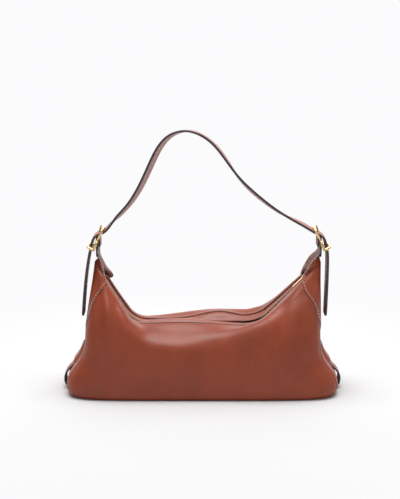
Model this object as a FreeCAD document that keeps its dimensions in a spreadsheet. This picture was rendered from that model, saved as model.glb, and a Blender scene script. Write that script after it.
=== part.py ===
import FreeCAD, Part
import math
import os

# A slouchy leather hobo bag: two large panels, a gusset at each end, a base, a zipped top,
# a leather ear at each end, and one shoulder strap held by two pin buckles.
# Millimetres. X is the width, -Y the front, +Z up. The origin is the middle of the base.

Vec = FreeCAD.Vector
os.makedirs("parts", exist_ok=True)
doc = FreeCAD.newDocument("hobo_bag")

# ---------------------------------------------------------------- driving dimensions
SIZES = (
    # the body
    ("end_half", 146.0),          # half width of the body above its flared foot
    ("end_flare", 23.0),          # how far the foot of each end flares out
    ("flare_level", 12.0),        # height at which the foot is widest
    ("flare_fade", 27.0),         # height over which the flare dies away
    ("left_lean", 16.0),          # how far the left ear's top leans inwards
    ("lean_foot", 50.0),          # the lean begins at this height
    ("lean_top", 200.0),          # and is whole at this height
    ("body_depth", 124.0),        # front to back at the base
    ("roof_level", 85.0),         # height of the zip along the level middle
    ("climb_corner", 69.0),       # distance from the middle at which the zip turns upwards
    ("climb_slope", 45.0),        # slope of the zip towards the right ear, degrees
    ("left_corner", 86.0),        # the same two for the left half
    ("left_slope", 52.5),
    ("climb_bend", 16.0),         # length taken up by the bend on each side of that corner
    ("end_round", 12.0),          # radius of the lower corner at each end
    ("foot_round", 8.0),          # radius along the front and rear edges of the base
    ("leather_wall", 1.8),        # thickness of the shell leather
    ("ply_gap", 0.3),             # clearance between plies and at seams
    ("right_seam_turn", 34.6),    # plan angles of the end seams, degrees
    ("left_seam_turn", 32.2),
    # how the fold at the front and rear slouches: place, width and height of each swell
    ("front_sag_place", -23.0),
    ("front_sag_wide", 30.0),
    ("front_sag_lift", -3.0),
    ("front_swell_place", 72.0),
    ("front_swell_wide", 38.0),
    ("front_swell_lift", 12.0),
    ("left_swell_place", -102.0),
    ("left_swell_wide", 24.0),
    ("left_swell_lift", 13.0),
    ("rear_swell_place", 32.0),
    ("rear_swell_wide", 45.0),
    ("rear_swell_lift", 8.0),
    # the inside
    ("board_wall", 1.5),          # base stiffener
    ("lining_wall", 0.8),
    ("lining_drop", 6.6),         # depth of the lining below the outer surface
    # the zipped top
    ("placket_wall", 1.5),
    ("zip_slot", 9.4),            # clear width between the two plackets
    ("tape_wall", 0.6),
    ("tape_width", 11.0),         # from the middle of the zip to a tape's outer edge
    ("chain_width", 5.0),
    ("chain_height", 2.2),
    ("zip_inset", 14.0),          # from the body's end to the zip's end
    ("slider_inset", 5.0),        # from the zip's end to the closed slider's middle
    ("slider_long", 11.0),
    ("slider_wide", 8.4),
    ("slider_plate", 1.2),
    ("pull_long", 18.0),
    ("pull_wide", 7.0),
    ("pull_wall", 1.6),
    ("eye_pin", 0.8),             # radius of the slider's cross pin
    ("eye_clear", 0.15),          # running clearance of the pull's eye
    # ears, chapes and swing axis
    ("ear_wall", 2.0),
    ("ear_gap", 0.9),             # between an ear and the body that it wraps
    ("ear_lap", 2.4),             # plan angle by which a wing covers the seam, degrees
    ("tongue_wide", 20.0),        # width of the ear's top tongue
    ("swing_level", 180.0),       # height of the axis that the shoulder strap swings about
    ("chape_wall", 1.5),
    ("chape_wide", 22.0),
    ("chape_clear", 0.35),        # between a chape's plies and the tongue
    ("chape_inner_tail", 4.0),    # height of the short inner ply's end above the swing axis
    ("bar_lift", 3.2),            # from the tongue's top to the middle of the buckle's bar
    # buckles
    ("bar_radius", 1.3),
    ("wire_radius", 1.6),
    ("corner_radius", 1.8),       # the frame's corners, a little stouter than its bars
    ("buckle_reach", 13.5),       # from the middle bar to each end bar
    ("buckle_tilt", 25.0),        # lean of the buckle from upright, degrees
    ("buckle_room", 1.2),         # side room between the strap and the frame
    ("prong_radius", 1.1),
    ("prong_reach", 15.5),
    ("prong_swing", 40.0),        # how far a prong lifts, degrees
    ("prong_clear", 0.7),
    # the shoulder strap
    ("strap_wide", 25.0),
    ("strap_wall", 3.0),
    ("strap_clear", 0.4),         # between the strap and the metal
    ("apex_place", -19.8),        # place of the arch's top along the width
    ("apex_level", 327.6),
    ("right_tip_proud", 9.4),     # how far outside its buckle the tip of each free tail hangs
    ("left_tip_proud", 20.7),
    ("tip_level", 94.5),
    # keepers and base straps
    ("keeper_low", 34.0),
    ("keeper_high", 57.0),
    ("keeper_wide", 32.0),
    ("keeper_wall", 1.8),
    ("base_strap_wide", 22.0),
    ("base_strap_wall", 2.4),
    ("base_strap_bulge", 3.2),    # largest gap between the base strap and the body
    ("base_strap_tip", 62.0),     # height of the tip that pokes out of the keeper
)

sheet = doc.addObject("Spreadsheet::Sheet", "sizes")
for row, (alias, value) in enumerate(SIZES, start=1):
    sheet.set(f"A{row}", alias)
    sheet.set(f"B{row}", str(value))
    sheet.setAlias(f"B{row}", alias)
doc.recompute()


def size(alias):
    """A driving dimension, read from the sheet."""
    return float(sheet.get(alias))


def finished(label, shape, place=None):
    """Puts a computed shape into the document under its own label."""
    piece = doc.addObject("Part::Feature", label)
    piece.Label = label
    piece.Shape = shape
    if place:
        piece.Placement = place
    return piece


# ---------------------------------------------------------------- the body's form
SECTION_POWER = 4.0      # boxy shoulders where the panels fold over
PLAN_POWER_LOW = 6.0     # nearly square plan at the base
PLAN_POWER_HIGH = 2.2    # eye-shaped plan at the top
FOLD_RISE = 45.0         # the fold's place on the front wall, and the reach of its slouch
FOLD_REACH = 14.5
REAR_FOLD_RISE = 52.0
REAR_FOLD_REACH = 18.0
SWELL_DEPTH = 18.0       # the slouch grows over this distance from the zip's line


def smooth(amount):
    """Rises from 0 to 1 with level ends."""
    amount = min(max(amount, 0.0), 1.0)
    return amount * amount * (3.0 - 2.0 * amount)


def corner_cut(level, radius):
    """How far a rounded lower edge lies inside the full outline at a level."""
    if level >= radius:
        return 0.0
    return radius - math.sqrt(radius ** 2 - (radius - max(level, 0.0)) ** 2)


def end_reach(level):
    """Half width of an end at a level: a straight upper end with a flared, rounded foot."""
    above = max(level - size("flare_level"), 0.0)
    flare = size("end_flare") * math.exp(-((above / size("flare_fade")) ** 2))
    return size("end_half") + flare - corner_cut(level, size("end_round"))


def bell(share):
    """A soft bump of height 1, with its width as the unit of distance."""
    return math.exp(-share * share)


def climb(place):
    """Rise of the zip above its level middle: a line, an arc and a sloping line."""
    corner = size("climb_corner") if place >= 0.0 else size("left_corner")
    slope = math.radians(size("climb_slope") if place >= 0.0 else size("left_slope"))
    bend = size("climb_bend")
    past = abs(place) - (corner - bend)
    if past <= 0.0:
        return 0.0
    radius = bend / math.tan(slope / 2.0)
    if past < radius * math.sin(slope):
        return radius - math.sqrt(radius ** 2 - past ** 2)
    return (past - bend) * math.tan(slope)


def swell(name, place):
    """Height of one of the slouch's swells at a place along the width."""
    return size(f"{name}_lift") * bell((place - size(f"{name}_place")) / size(f"{name}_wide"))


def slouch(spot, rise):
    """How far the leather of the fold is lifted or sunk at a point of the body."""
    if spot.y < 0.0:
        lift = sum(swell(name, spot.x) for name in ("front_sag", "front_swell", "left_swell"))
        reach = bell((rise - FOLD_RISE) / FOLD_REACH)
    else:
        lift = swell("rear_swell", spot.x)
        reach = bell((rise - REAR_FOLD_RISE) / REAR_FOLD_REACH)
    return lift * reach * smooth(abs(spot.y) / SWELL_DEPTH)


def polar_radius(angle, power):
    """Radius of a unit superellipse in the direction of an angle."""
    return (abs(math.cos(angle)) ** power + abs(math.sin(angle)) ** power) ** (-1.0 / power)


def leaned(spot):
    """Moves a point of the left end inwards, more and more towards its top."""
    if spot.x >= 0.0:
        return spot
    foot, top = size("lean_foot"), size("lean_top")
    amount = size("left_lean") * smooth((spot.z - foot) / (top - foot))
    return spot + Vec(amount * (spot.x / size("end_half")) ** 2, 0.0, 0.0)


def body_point(turn, rise):
    """Outer surface of the body. turn goes round the plan from the right end by way of the
    rear, and rise goes up from the base (0) over the shoulder (45) to the zip (90)."""
    turn, angle = math.radians(turn), math.radians(rise)
    plan_power = PLAN_POWER_LOW + (PLAN_POWER_HIGH - PLAN_POWER_LOW) * smooth((rise - 20.0) / 30.0)
    plan = polar_radius(turn, plan_power)
    section = polar_radius(angle, SECTION_POWER)
    middle_level = size("roof_level") * section * math.sin(angle)
    lift = smooth(rise / 60.0)
    end_level = middle_level + climb(math.copysign(size("end_half"), math.cos(turn))) * lift
    across = end_reach(end_level) * plan * math.cos(turn)
    half_depth = size("body_depth") / 2.0 * section * math.cos(angle)
    half_depth -= min(corner_cut(middle_level, size("foot_round")), half_depth)
    spot = leaned(Vec(across, half_depth * plan * math.sin(turn), middle_level + climb(across) * lift))
    return spot + Vec(0.0, 0.0, slouch(spot, rise))


def spread(first, last, count):
    """Evenly spaced values from first to last."""
    return [first + (last - first) * step / (count - 1) for step in range(count)]


def outward(point, one, two):
    """Unit normal of a surface by small steps along its two parameters."""
    step = 0.05
    along = point(one + step, two) - point(one - step, two)
    across = point(one, two + step) - point(one, two - step)
    return along.cross(across).normalize()


def ply(outer_rows, inner_rows):
    """A closed leather ply between two matching grids of points, in flat facets."""
    rings = [top + list(reversed(bottom)) for top, bottom in zip(outer_rows, inner_rows)]
    count = len(rings[0])
    corners = []
    for one, two in zip(rings, rings[1:]):
        for here in range(count):
            following = (here + 1) % count
            corners.append((one[here], two[here], two[following]))
            corners.append((one[here], two[following], one[following]))
    for end in (rings[0], rings[-1]):
        for here in range(count // 2 - 1):
            far = count - 1 - here
            corners.append((end[here], end[here + 1], end[far - 1]))
            corners.append((end[here], end[far - 1], end[far]))
    faces = [Part.Face(Part.makePolygon([a, b, c, a])) for a, b, c in corners]
    shell = Part.makeShell(faces)
    shell.sewShape()
    solid = Part.makeSolid(shell)
    if solid.Volume < 0:
        solid.reverse()
    return solid


def thick_sheet(point, ones, twos, outer, inner):
    """A ply between two depths below a surface."""
    grids = []
    for depth in (outer, inner):
        grids.append([[point(a, b) - outward(point, a, b) * depth for b in twos] for a in ones])
    return ply(*grids)


wall, gap = size("leather_wall"), size("ply_gap")
base_top = wall + gap

# Seams leave a ply gap, given here as an angle of the plan.
SEAM_GAP_TURN = 0.15
LOW_RISE = 1.55
WALL_RISES = [LOW_RISE, 3.0, 6.0, 12.0, 20.0, 28.0, 35.0, 40.0, 44.0, 48.0, 54.0, 62.0, 72.0]


right_seam, left_seam = size("right_seam_turn"), size("left_seam_turn")


def panel_turns(first, last):
    """Plan angles across a panel between two seams, close together at its two ends."""
    steps = (0.0, 2.2, 5.2, 8.7, 12.2, 15.7, 19.2, 22.2, 25.2, 28.2, 31.2, 34.2, 37.7, 43.0, 49.0)
    half = [first + SEAM_GAP_TURN + step for step in steps]
    other = [last - SEAM_GAP_TURN - step for step in reversed(steps)]
    return half + [(half[-1] + other[0]) / 2.0] + other


finished("rear_panel", thick_sheet(
    body_point, panel_turns(right_seam, 180.0 - left_seam), WALL_RISES, 0.0, wall))
finished("front_panel", thick_sheet(
    body_point, panel_turns(180.0 + left_seam, 360.0 - right_seam), WALL_RISES, 0.0, wall))

GUSSET_RISES = [LOW_RISE, 3.0, 5.0, 7.0, 9.0, 11.5, 14.0, 16.5, 19.0, 21.5, 24.0, 26.0, 28.0, 30.0, 32.0,
                34.0, 37.0, 41.0, 45.0, 50.0, 55.0, 60.0]
for label, middle_turn, seam in (("right_gusset", 0.0, right_seam), ("left_gusset", 180.0, left_seam)):
    reach = seam - SEAM_GAP_TURN
    turns = spread(middle_turn - reach, middle_turn + reach, 13)
    finished(label, thick_sheet(body_point, turns, GUSSET_RISES, 0.0, wall))


# ---------------------------------------------------------------- base, board and lining
def plan_ring(rise, inset, level):
    """Closed outline of the body at a rise, drawn in and laid at a level."""
    points = []
    for step in range(60):
        turn = 360.0 * step / 60
        spot = body_point(turn, rise)
        side = outward(body_point, turn, max(rise, 1.0))
        side.z = 0.0
        side.normalize()
        spot = spot - side * inset
        points.append(Vec(spot.x, spot.y, level))
    return Part.makePolygon(points + [points[0]])


def plate(ring_low, ring_high):
    """A plate or prism between two level outlines."""
    return Part.makeLoft([ring_low, ring_high], True, True)


finished("base_panel", plate(plan_ring(0.3, 0.0, 0.0), plan_ring(LOW_RISE - 0.2, 0.0, wall)))
board_low = base_top
board_high = board_low + size("board_wall")
board_inset = wall + 2.0 * gap
finished("base_board", plate(plan_ring(2.5, board_inset + 1.0, board_low),
                             plan_ring(2.5, board_inset + 1.0, board_high)))
lining_low = board_high + gap
lining_high = lining_low + size("lining_wall")
finished("lining_base", plate(plan_ring(2.5, board_inset + 1.0, lining_low),
                              plan_ring(2.5, board_inset + 1.0, lining_high)))

lining_outer = size("lining_drop")
lining_inner = lining_outer + size("lining_wall")
LINING_RISES = [5.0, 9.0, 18.0, 28.0, 36.0, 43.0, 50.0, 60.0]


def lining_turns(side):
    half = [side + turn for turn in (3.0, 15.0, 24.0, 31.0, 36.0, 41.0, 46.0, 51.0, 55.0, 59.0, 63.0, 67.0,
                                     72.0, 80.0)]
    return half + [side + 90.0] + [2 * (side + 90.0) - turn for turn in reversed(half)]


finished("lining_rear", thick_sheet(body_point, lining_turns(0.0), LINING_RISES, lining_outer, lining_inner))
finished("lining_front", thick_sheet(body_point, lining_turns(180.0), LINING_RISES, lining_outer, lining_inner))
pocket_outer = lining_inner + gap
finished("inner_pocket", thick_sheet(body_point, spread(68.0, 112.0, 5), spread(14.0, 36.0, 5),
                                     pocket_outer, pocket_outer + size("lining_wall")))


# ---------------------------------------------------------------- the zipped top
def zip_spot(place, depth):
    """A point below the zip's line, square to it, in the plane of the width and height."""
    step = 0.05
    here = leaned(Vec(place, 0.0, size("roof_level") + climb(place)))
    ahead = leaned(Vec(place + step, 0.0, size("roof_level") + climb(place + step)))
    run = (ahead - here).normalize()
    return here + Vec(run.z, 0.0, -run.x) * depth


def zip_places(reach):
    """Places along the zip from end to end, with closer steps through its two bends."""
    bend = size("climb_bend")
    places = []
    for side, corner in ((-1.0, size("left_corner")), (1.0, size("climb_corner"))):
        half = [corner - bend + step * bend / 3.0 for step in range(6)]
        half += [half[-1] + (reach - half[-1]) * share / 3.0 for share in (1, 2, 3)]
        places += [side * place for place in half]
    return sorted(places)


def band(path_one, path_two, side_low, side_high):
    """A strip between two paths in the width-height plane, carried from side to side."""
    outline = path_one + list(reversed(path_two))
    outline = [Vec(spot.x, side_low, spot.z) for spot in outline]
    face = Part.Face(Part.makePolygon(outline + [outline[0]]))
    return face.extrude(Vec(0.0, side_high - side_low, 0.0))


def zip_band(reach, top_depth, low_depth, side_low, side_high):
    places = zip_places(reach)
    return band([zip_spot(place, top_depth) for place in places],
                [zip_spot(place, low_depth) for place in places], side_low, side_high)


ROOF_DROP = 0.5                       # the roof falls this much under the panels' top edges
placket_top = wall + gap + ROOF_DROP
placket_low = placket_top + size("placket_wall")
tape_top = placket_low + gap
tape_low = tape_top + size("tape_wall")
tape_middle = (tape_top + tape_low) / 2.0
zip_end = size("end_half") - size("zip_inset")
EDGE_RISE = 68.0                      # the plackets reach a little under the panels' edges
room = plate(plan_ring(EDGE_RISE, 1.0, 0.0), plan_ring(EDGE_RISE, 1.0, 2.0 * size("swing_level")))
half_slot = size("zip_slot") / 2.0
for label, low, high in (("front_placket", -size("body_depth") / 2.0, -half_slot),
                         ("rear_placket", half_slot, size("body_depth") / 2.0)):
    finished(label, zip_band(zip_end, placket_top, placket_low, low, high).common(room))

half_chain = size("chain_width") / 2.0
tape_edge = half_chain + gap / 2.0
for label, low, high in (("front_zip_tape", -size("tape_width"), -tape_edge),
                         ("rear_zip_tape", tape_edge, size("tape_width"))):
    finished(label, zip_band(zip_end, tape_top, tape_low, low, high).common(room))
chain_top = tape_middle - size("chain_height") / 2.0
chain_low = tape_middle + size("chain_height") / 2.0
finished("zip_chain", zip_band(zip_end, chain_top, chain_low, -half_chain, half_chain))


def slider_frame():
    """Places the slider: its X runs up the slope and its Z stands square to the zip."""
    here = zip_spot(zip_end - size("slider_inset"), tape_middle)
    turn = FreeCAD.Rotation(Vec(0.0, 1.0, 0.0), -size("climb_slope"))
    return FreeCAD.Placement(here, turn)


def block(low, high):
    return Part.makeBox(high[0] - low[0], high[1] - low[1], high[2] - low[2], Vec(*low))


long_half, wide_half = size("slider_long") / 2.0, size("slider_wide") / 2.0
plate_low = size("chain_height") / 2.0 + gap
plate_high = plate_low + size("slider_plate")
flange_low = size("tape_wall") / 2.0 + gap
flange_side = half_chain + gap
wings = []
for flip in (1.0, -1.0):
    levels = sorted((flip * plate_low, flip * plate_high))
    wing = block((-long_half, -wide_half, levels[0]), (long_half, wide_half, levels[1]))
    levels = sorted((flip * flange_low, flip * plate_low))
    for sides in ((-wide_half, -flange_side), (flange_side, wide_half)):
        wing = wing.fuse(block((-long_half, sides[0], levels[0]), (long_half, sides[1], levels[1])))
    wings.append(wing.removeSplitter())
eye_radius = size("eye_pin") + size("eye_clear")
eye_outer = eye_radius + 0.7
pin_level = plate_high + eye_outer + gap
post_wall = 1.2
eye_side = size("pull_wide") / 2.0 - 1.2
upper_wing = wings[0]
pin = Part.makeCylinder(size("eye_pin"), 2.0 * eye_side + 2.0 * post_wall,
                        Vec(0.0, -eye_side - post_wall, pin_level), Vec(0.0, 1.0, 0.0))
for side in (-eye_side - post_wall, eye_side):
    upper_wing = upper_wing.fuse(block((-1.6, side, plate_high), (1.6, side + post_wall, pin_level + 1.2)))
upper_wing = upper_wing.fuse(pin).removeSplitter()
finished("zip_slider", Part.makeCompound([upper_wing, wings[1]]), slider_frame())

pull_half = eye_side - gap
pull_wall = size("pull_wall")
pull = block((-size("pull_long"), -pull_half, pin_level - pull_wall / 2.0),
             (0.0, pull_half, pin_level + pull_wall / 2.0))
pull = pull.fuse(Part.makeCylinder(eye_outer, 2.0 * pull_half, Vec(0.0, -pull_half, pin_level),
                                   Vec(0.0, 1.0, 0.0)))
pull = pull.cut(Part.makeCylinder(eye_radius, 2.0 * pull_half, Vec(0.0, -pull_half, pin_level),
                                  Vec(0.0, 1.0, 0.0)))
finished("zip_pull", pull.removeSplitter(), slider_frame())


# ---------------------------------------------------------------- ears
# Each row of an ear is a rise on the body and a share of the wing's whole plan angle.
EAR_ROWS = ((25.0, 0.24), (26.0, 0.26), (28.0, 0.41), (30.0, 0.68), (32.0, 0.89), (34.0, 1.0), (37.0, 1.0),
            (41.0, 1.0), (45.0, 1.0), (50.0, 1.0), (55.0, 1.0), (60.0, 1.0), (66.0, 1.0), (73.0, 1.0))
# Each row of its neck: below the swing axis, wider than the tongue, edges curled in, edges lower.
NECK_ROWS = ((16.5, 5.5, 20.0, 14.0), (14.0, 5.0, 13.0, 7.0), (11.5, 4.0, 6.0, 1.0), (8.5, 2.8, 2.0, 0.0),
             (5.0, 1.5, 0.0, 0.0), (0.0, 0.0, 0.0, 0.0))
TIP_ANGLES = (30.0, 55.0, 75.0, 84.0)
ACROSS = spread(-1.0, 1.0, 15)


def tongue_place(side):
    """Place of the tongue, and of the buckle's bar above it, along the width."""
    lean = size("left_lean") if side < 0 else 0.0
    return side * (size("end_half") - lean)


def grid_normal(rows, row, column):
    """Unit normal of a grid of points, from its neighbours."""
    along = rows[min(row + 1, len(rows) - 1)][column] - rows[max(row - 1, 0)][column]
    across = rows[row][min(column + 1, len(ACROSS) - 1)] - rows[row][max(column - 1, 0)]
    return across.cross(along).normalize()


def ear(side):
    """A leather piece wrapped over the end: a band, a wide V of two wings, and a tongue."""
    middle_turn, seam = (0.0, right_seam) if side > 0 else (180.0, left_seam)
    half_turn = seam + size("ear_lap")
    stand = size("ear_gap") + size("ear_wall") / 2.0
    rows = []
    for rise, share in EAR_ROWS:
        turns = [middle_turn + side * part * share * half_turn for part in ACROSS]
        rows.append([body_point(turn, rise) + outward(body_point, turn, rise) * stand for turn in turns])
    swing, tongue_half = size("swing_level"), size("tongue_wide") / 2.0
    plane = tongue_place(side)
    for below, wider, curl, drop in NECK_ROWS:
        rows.append([Vec(plane - side * curl * abs(part) ** 2.2, part * (tongue_half + wider),
                         swing - below - drop * part ** 2) for part in ACROSS])
    for angle in TIP_ANGLES:
        level = swing + tongue_half * math.sin(math.radians(angle))
        half = tongue_half * math.cos(math.radians(angle))
        rows.append([Vec(plane, part * half, level) for part in ACROSS])
    offset = side * size("ear_wall") / 2.0
    grids = []
    for depth in (offset, -offset):
        grids.append([[spot + grid_normal(rows, row, column) * depth for column, spot in enumerate(line)]
                      for row, line in enumerate(rows)])
    return ply(*grids)


for label, side in (("right_ear", 1.0), ("left_ear", -1.0)):
    finished(label, ear(side))


# ---------------------------------------------------------------- base straps and keepers
def rise_at(level, turn):
    """The rise at which the body's surface reaches a level, found by halving."""
    low, high = 0.0, 60.0
    for _ in range(30):
        middle = (low + high) / 2.0
        if body_point(turn, middle).z < level:
            low = middle
        else:
            high = middle
    return low


def end_rises(low, high, turn):
    """Rises on the end's middle line between two levels, shared with the gusset's own rows."""
    first, last = rise_at(low, turn), rise_at(high, turn)
    return [first] + [rise for rise in GUSSET_RISES if first < rise < last] + [last]


BASE_STRAP_START = 2.8                # level at which a base strap comes out from below the foot
KEEPER_STAND = gap + size("base_strap_wall") + gap
strap_half = size("base_strap_wide") / 2.0


def base_strap(turn):
    """A strap up the middle of an end: bulging off the body to the keeper, then flat on it."""
    paths = ([], [])
    keeper_start = size("keeper_low")
    for rise in end_rises(BASE_STRAP_START, size("base_strap_tip"), turn):
        spot, way = body_point(turn, rise), outward(body_point, turn, rise)
        share = (spot.z - BASE_STRAP_START) / (keeper_start - BASE_STRAP_START)
        lift = size("base_strap_bulge") * math.sin(math.pi * min(share, 1.0)) ** 2
        for path, offset in zip(paths, (0.0, size("base_strap_wall"))):
            path.append(spot + way * (1.5 * gap + lift + offset))
    return band(paths[0], paths[1], -strap_half, strap_half)


def keeper(turn):
    """A short loop sewn across the end, bowed over the base strap."""
    half = size("keeper_wide") / 2.0
    stand = KEEPER_STAND + gap
    half_row = [(-half, gap), (-half + 2.0, gap), (-strap_half - 0.8, stand), (-strap_half / 2.0, stand)]
    row = half_row + [(0.0, stand)] + [(-place, lift) for place, lift in reversed(half_row)]
    outer, inner = [], []
    for rise in end_rises(size("keeper_low"), size("keeper_high"), turn):
        foot, way = body_point(turn, rise), outward(body_point, turn, rise)
        inner.append([foot + way * lift + Vec(0, place, 0) for place, lift in row])
        outer.append([foot + way * (lift + size("keeper_wall")) + Vec(0, place * 1.02, 0)
                      for place, lift in row])
    return ply(outer, inner)


for label, turn in (("right", 0.0), ("left", 180.0)):
    finished(f"{label}_base_strap", base_strap(turn))
    finished(f"{label}_keeper", keeper(turn))


# ---------------------------------------------------------------- buckles
bar_level = size("swing_level") + size("tongue_wide") / 2.0 + size("bar_lift")
reach, wire = size("buckle_reach"), size("wire_radius")
side_bar = size("strap_wide") / 2.0 + size("buckle_room") + wire
bow_out = wire + 3.5 * size("strap_clear") + size("strap_wall") + wire


def buckle_frame_axes(side):
    """Middle of a buckle, the way up along it and the way out of it."""
    tilt = math.radians(size("buckle_tilt"))
    middle = Vec(tongue_place(side), 0.0, bar_level)
    up = Vec(-side * math.sin(tilt), 0.0, math.cos(tilt))
    out = Vec(side * math.cos(tilt), 0.0, math.sin(tilt))
    return middle, up, out


def rod(document_name, start, end, radius_alias):
    """A round bar between two points, with its radius bound to the sheet."""
    bar = doc.addObject("Part::Cylinder", document_name)
    bar.setExpression("Radius", f"sizes.{radius_alias}")
    bar.Height = (end - start).Length
    bar.Placement = FreeCAD.Placement(start, FreeCAD.Rotation(Vec(0, 0, 1), end - start))
    return bar


def knuckle(document_name, spot, way):
    """A round corner where two bars of the frame meet, standing square to both."""
    boss = doc.addObject("Part::Cylinder", document_name)
    boss.setExpression("Radius", "sizes.corner_radius")
    boss.setExpression("Height", "2 * sizes.wire_radius")
    boss.Placement = FreeCAD.Placement(spot - way * wire, FreeCAD.Rotation(Vec(0, 0, 1), way))
    return boss


fused = []
for name, side in (("right", 1.0), ("left", -1.0)):
    middle, up, out = buckle_frame_axes(side)
    across = Vec(0.0, side_bar, 0.0)
    corners = {}
    for row, (along, proud) in {"top": (reach, 0.0), "low": (-reach, 0.0), "bow": (-reach, bow_out)}.items():
        for hand, sign in (("front", -1.0), ("rear", 1.0)):
            corners[row, hand] = middle + up * along + out * proud + across * sign
    square = {"top": out, "low": Vec(0.0, 1.0, 0.0), "bow": up}
    parts = [knuckle(f"{name}_{row}_{hand}_corner", spot, square[row])
             for (row, hand), spot in corners.items()]
    for row in ("top", "low", "bow"):
        parts.append(rod(f"{name}_{row}_bar", corners[row, "front"], corners[row, "rear"], "wire_radius"))
    for hand in ("front", "rear"):
        parts.append(rod(f"{name}_{hand}_side", corners["low", hand], corners["top", hand], "wire_radius"))
        parts.append(rod(f"{name}_{hand}_arm", corners["low", hand], corners["bow", hand], "wire_radius"))
    parts.append(rod(f"{name}_middle_bar", middle - across, middle + across, "bar_radius"))
    frame = doc.addObject("Part::MultiFuse", f"{name}_buckle_frame")
    frame.Label = f"{name}_buckle_frame"
    frame.Shapes = parts
    fused.append(frame)


def prong(side):
    """A pin rolled round the middle bar, lying over the top bar."""
    middle, up, out = buckle_frame_axes(side)
    hole = size("bar_radius") + 0.1
    sleeve = hole + 1.2
    half = 2.0
    start = middle - Vec(0, half, 0)
    lying = wire + size("prong_radius") + gap + 0.1
    root = middle + up * 1.2 + out * 1.8
    tip = middle + up * size("prong_reach") + out * (lying + 0.3)
    pin = Part.makeCylinder(size("prong_radius"), (tip - root).Length, root, tip - root)
    solid = Part.makeCylinder(sleeve, 2 * half, start, Vec(0, 1, 0)).fuse(pin)
    solid = solid.fuse(Part.makeCone(size("prong_radius"), size("prong_radius") * 0.45, 1.1, tip, tip - root))
    return solid.cut(Part.makeCylinder(hole, 2 * half, start, Vec(0, 1, 0))).removeSplitter()


for label, side in (("right_prong", 1.0), ("left_prong", -1.0)):
    finished(label, prong(side))


def chape(side):
    """A leather tab folded over the middle bar, its plies either side of the tongue."""
    middle = buckle_frame_axes(side)[0]
    near = size("ear_wall") / 2.0 + size("chape_clear")
    far = near + size("chape_wall")
    half = size("chape_wide") / 2.0
    swing = size("swing_level")
    fold = Part.makeCylinder(far, 2 * half, middle - Vec(0, half, 0), Vec(0, 1, 0))
    outer_side = sorted((side * near, side * far))
    inner_side = sorted((-side * near, -side * far))
    solid = fold
    for sides, low in ((outer_side, swing - half), (inner_side, swing + size("chape_inner_tail"))):
        solid = solid.fuse(block((middle.x + sides[0], -half, low), (middle.x + sides[1], half, middle.z)))
    solid = solid.cut(Part.makeCylinder(near, 2 * half, middle - Vec(0, half, 0), Vec(0, 1, 0)))
    solid = solid.cut(block((middle.x - near, -half, swing - half), (middle.x + near, half, middle.z)))
    rounded = Part.makeCylinder(half, 2 * far + 2, Vec(middle.x - far - 1, 0, swing), Vec(1, 0, 0))
    upper = block((middle.x - far - 1, -half, swing), (middle.x + far + 1, half, middle.z + far + 1))
    solid = solid.common(rounded.fuse(upper))
    slot = Part.makeCylinder(far + 0.6, 5.6, middle - Vec(0, 2.8, 0), Vec(0, 1, 0))
    return solid.cut(slot).removeSplitter()


for label, side in (("right_chape", 1.0), ("left_chape", -1.0)):
    finished(label, chape(side))


# ---------------------------------------------------------------- shoulder strap
# Each leg of the arch, as shares of the way from its buckle to the apex: across and up.
LEFT_LEG = ((0.27, 0.24), (0.56, 0.67), (0.82, 0.96))
RIGHT_LEG = ((0.18, 0.155), (0.37, 0.285), (0.58, 0.535), (0.77, 0.855), (0.89, 0.965))


def strap_spots():
    """Middle line of the strap from the left tail's tip over the arch to the right tail's tip."""
    under = wire + 2.0 * size("strap_clear") + size("strap_wall") / 2.0
    over = (size("ear_wall") / 2.0 + size("chape_clear") + size("chape_wall")
            + 2.5 * size("strap_clear") + size("strap_wall") / 2.0)
    apex = Vec(size("apex_place"), 0.0, size("apex_level"))
    sides = []
    for side, leg, tip in ((-1.0, LEFT_LEG, "left_tip_proud"), (1.0, RIGHT_LEG, "right_tip_proud")):
        middle, up, out = buckle_frame_axes(side)
        through = [(-reach, under), (-reach * 0.5, over - 0.2), (-0.5, over), (reach * 0.5, 1.2),
                   (reach, -under), (reach + 6.0, -under - 0.6)]
        spots = [middle + up * along + out * proud for along, proud in through]
        tip_spot = Vec(middle.x + side * size(tip), 0.0, size("tip_level"))
        hang = spots[0] + (tip_spot - spots[0]) * 0.25 + Vec(side * 1.5, 0, 0)
        start = spots[-1]
        arch = [Vec(start.x + (apex.x - start.x) * run, 0, start.z + (apex.z - start.z) * lift)
                for run, lift in leg]
        sides.append([tip_spot, hang] + spots + arch)
    left, right = sides
    return left + [apex] + list(reversed(right))


def shoulder_strap():
    line = Part.BSplineCurve()
    line.interpolate(strap_spots())
    half = size("strap_wall") / 2.0
    upper, lower = [], []
    steps = 90
    for step in range(steps + 1):
        where = line.FirstParameter + (line.LastParameter - line.FirstParameter) * step / steps
        spot, run = line.value(where), line.tangent(where)[0]
        side = Vec(-run.z, 0.0, run.x) * half
        upper.append(spot + side)
        lower.append(spot - side)
    half_wide = size("strap_wide") / 2.0
    solid = band(upper, lower, -half_wide, half_wide)
    slot = 2.0 * (size("prong_radius") + size("prong_clear"))
    for side in (1.0, -1.0):
        middle, up, out = buckle_frame_axes(side)
        sweep = size("prong_swing") + 72.0
        pie = Part.makeCylinder(size("prong_reach") + 2.0, slot, Vec(0, 0, 0), Vec(0, 0, 1), sweep)
        pie.rotate(Vec(0, 0, 0), Vec(0, 0, 1), -10.0)
        axes = FreeCAD.Matrix(up.x, out.x, 0, middle.x, 0, 0, side * 1.0, -side * slot / 2.0,
                              up.z, out.z, 0, middle.z)
        turned = pie.transformGeometry(axes)
        solid = solid.cut(turned)
    return solid


finished("shoulder_strap", shoulder_strap())


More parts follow.
